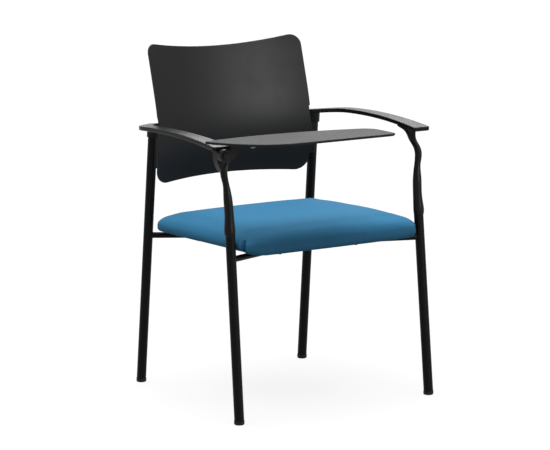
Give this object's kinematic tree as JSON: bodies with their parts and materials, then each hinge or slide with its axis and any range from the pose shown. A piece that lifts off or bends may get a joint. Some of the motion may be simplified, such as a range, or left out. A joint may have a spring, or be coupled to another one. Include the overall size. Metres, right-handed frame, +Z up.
{
  "type": "tablet arm chair",
  "caption": "Four-legged tube frame chair with an upholstered seat, a moulded back shell, arched arms and a folding writing tablet on the right arm.",
  "frame": {"origin": "on the floor, midway between the left and right legs and between the front and rear legs' middle", "axes": "+Z up, the sitter faces -Y, +X is the sitter's left, and the tablet is on the right arm at -X"},
  "size_m": [0.677, 0.6607, 0.859],
  "materials": {
    "frame_paint": "satin black powder coat",
    "arm_plastic": "moulded black nylon, satin",
    "shell_plastic": "moulded black polypropylene, fine texture",
    "glide_plastic": "black moulded",
    "seat_fabric": "blue woven wool upholstery",
    "seat_ply": "bare plywood",
    "cover_plastic": "black moulded, matt",
    "dark_screw": "black zinc",
    "hinge_steel": "plated steel",
    "washer_plastic": "black acetal",
    "bracket_paint": "cast, satin black",
    "tablet_laminate": "black laminate, satin"
  },
  "bodies": {
    "chair": {"arm_left": "arm_plastic", "arm_right": "arm_plastic", "arm_screws": "dark_screw", "back_screws": "dark_screw", "back_shell": "shell_plastic", "cover_screws": "dark_screw", "front_leg_left": "frame_paint", "front_leg_right": "frame_paint", "front_rail": "frame_paint", "glide_front_left": "glide_plastic", "glide_front_right": "glide_plastic", "glide_rear_left": "glide_plastic", "glide_rear_right": "glide_plastic", "hinge_bolt": "bracket_paint", "hinge_nut": "hinge_steel", "hinge_washer": "washer_plastic", "lift_stop": "bracket_paint", "rear_leg_left": "frame_paint", "rear_leg_right": "frame_paint", "rear_rail": "frame_paint", "saddle_front_left": "cover_plastic", "saddle_front_right": "cover_plastic", "saddle_rear_left": "cover_plastic", "saddle_rear_right": "cover_plastic", "seat_board": "seat_ply", "seat_cover": "cover_plastic", "seat_cushion": "seat_fabric", "seat_screws": "dark_screw"},
    "bracket": {"tablet_bracket": "bracket_paint"},
    "tablet": {"swivel_pin": "hinge_steel", "swivel_nut": "hinge_steel", "swivel_flange": "bracket_paint", "tablet_screws": "dark_screw", "tablet_top": "tablet_laminate"}
  },
  "joints": [
    {"name": "tablet_lift", "type": "hinge", "parent": "chair", "child": "bracket", "pos_m": [-0.293, -0.205, 0.645], "axis": [0, -1, 0], "range_deg": [0, 90]},
    {"name": "tablet_swing", "type": "hinge", "parent": "bracket", "child": "tablet", "pos_m": [-0.24, -0.245, 0.677], "axis": [0, 0, -1], "range_deg": [0, 180]}
  ]
}
